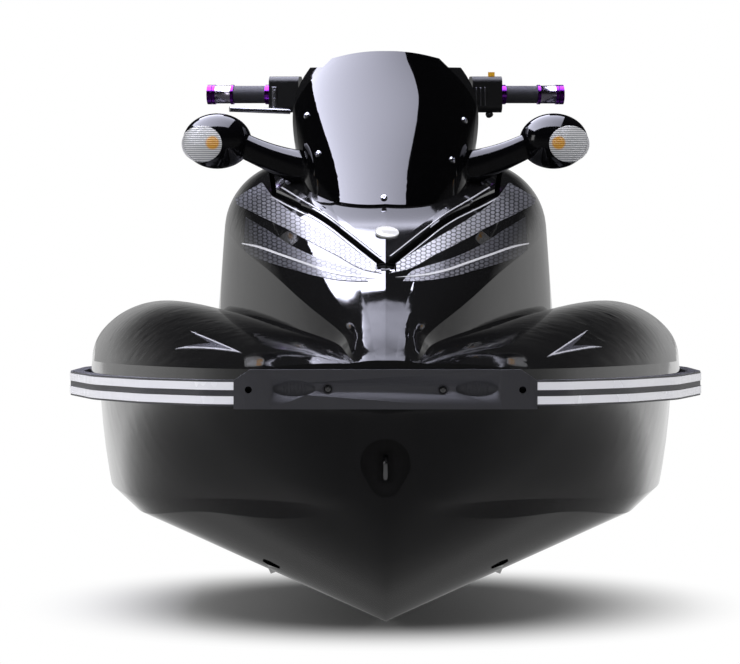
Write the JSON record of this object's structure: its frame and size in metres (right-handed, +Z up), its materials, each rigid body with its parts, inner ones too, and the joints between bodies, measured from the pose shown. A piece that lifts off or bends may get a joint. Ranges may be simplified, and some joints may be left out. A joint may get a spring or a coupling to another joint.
{
  "type": "personal watercraft",
  "caption": "Sit-down personal watercraft with black hull and deck, bow locker lid with windscreen and mirrors, handlebar, seats, jet pump, nozzle and reverse bucket.",
  "frame": {"origin": "at the waterline, on the centre line, halfway along the craft", "axes": "+Y towards the stern, so the bow points to -Y; +Z up; +X to the rider's left"},
  "size_m": [1.183, 3.1178, 1.0443],
  "materials": {
    "gelcoat_black": "polished gelcoat over fibreglass",
    "painted_black": "gloss paint on moulded plastic",
    "cast_iron_grey": "plain",
    "rubber_black": "moulded rubber",
    "stripe_silver": "metallised plastic strip",
    "stainless": "polished stainless steel",
    "seat_vinyl": "grained marine vinyl",
    "mat_rubber": "ribbed foam rubber",
    "moulded_black": "fine textured moulding",
    "cast_alloy": "cast and painted",
    "painted_steel": "satin black",
    "grip_rubber": "knurled rubber",
    "anodised_purple": "anodised purple",
    "button_yellow": "moulded",
    "smoked_acrylic": "dark tinted acrylic",
    "mirror_glass": "silvered glass",
    "lens_clear": "ribbed clear lens",
    "amber_glass": "amber bulb",
    "display_glass": "dark display window"
  },
  "bodies": {
    "root": {"hull": "gelcoat_black", "deck": "gelcoat_black", "engine": "cast_iron_grey", "rub_rail": "rubber_black", "rail_stripes": "stripe_silver", "bow_bumper": "rubber_black", "bow_eye": "stainless", "seat_front": "seat_vinyl", "seat_rear": "seat_vinyl", "grab_rail": "stainless", "footwell_mats": "mat_rubber", "rear_deck_mat": "mat_rubber", "fuel_cap": "moulded_black", "stern_eyes": "stainless", "drain_plugs": "moulded_black", "ride_plate": "cast_alloy", "intake_grate": "cast_alloy", "pump_housing": "cast_alloy", "steering_collar": "moulded_black", "lid_hinge_pin": "stainless", "lid_buffers": "rubber_black"},
    "handlebar_assembly": {"steering_column": "painted_steel", "handlebar": "painted_steel", "handlebar_pad": "moulded_black", "grip_left": "grip_rubber", "grip_right": "grip_rubber", "grip_collars_left": "anodised_purple", "grip_collars_right": "anodised_purple", "switch_housing": "moulded_black", "throttle_housing": "moulded_black", "throttle_lever": "painted_steel", "start_button": "button_yellow"},
    "bow_lid": {"hood": "gelcoat_black", "cowl": "gelcoat_black", "windscreen": "smoked_acrylic", "mirror_arm_left": "painted_black", "mirror_arm_right": "painted_black", "mirror_housing_left": "painted_black", "mirror_housing_right": "painted_black", "mirror_glass_left": "mirror_glass", "mirror_glass_right": "mirror_glass", "signal_lens_left": "lens_clear", "signal_lens_right": "lens_clear", "signal_bulb_left": "amber_glass", "signal_bulb_right": "amber_glass", "instrument_display": "display_glass"},
    "impeller_shaft": {"impeller": "stainless", "drive_shaft": "stainless"},
    "nozzle": {"steering_nozzle": "cast_alloy"},
    "bucket": {"reverse_bucket": "cast_alloy"}
  },
  "joints": [
    {"name": "steering", "type": "hinge", "parent": "root", "child": "handlebar_assembly", "pos_m": [0, -0.3, 0.715], "axis": [0, 0.342, 0.9397], "range_deg": [-22, 22]},
    {"name": "nozzle_yaw", "type": "hinge", "parent": "root", "child": "nozzle", "pos_m": [0, 1.43, -0.12], "axis": [0, 0, 1], "range_deg": [-20, 20]},
    {"name": "bucket_tilt", "type": "hinge", "parent": "root", "child": "bucket", "pos_m": [0, 1.285, -0.12], "axis": [1, 0, 0], "range_deg": [-27, 0]},
    {"name": "impeller_spin", "type": "hinge", "parent": "root", "child": "impeller_shaft", "pos_m": [0, 1.19, -0.12], "axis": [0, 1, 0], "continuous": true},
    {"name": "lid_hinge", "type": "hinge", "parent": "root", "child": "bow_lid", "pos_m": [0, -1.01, 0.406], "axis": [1, 0, 0], "range_deg": [0, 50]}
  ],
  "couplings": [
    {"joint": "nozzle_yaw", "follows": "steering", "ratio": -0.9}
  ]
}
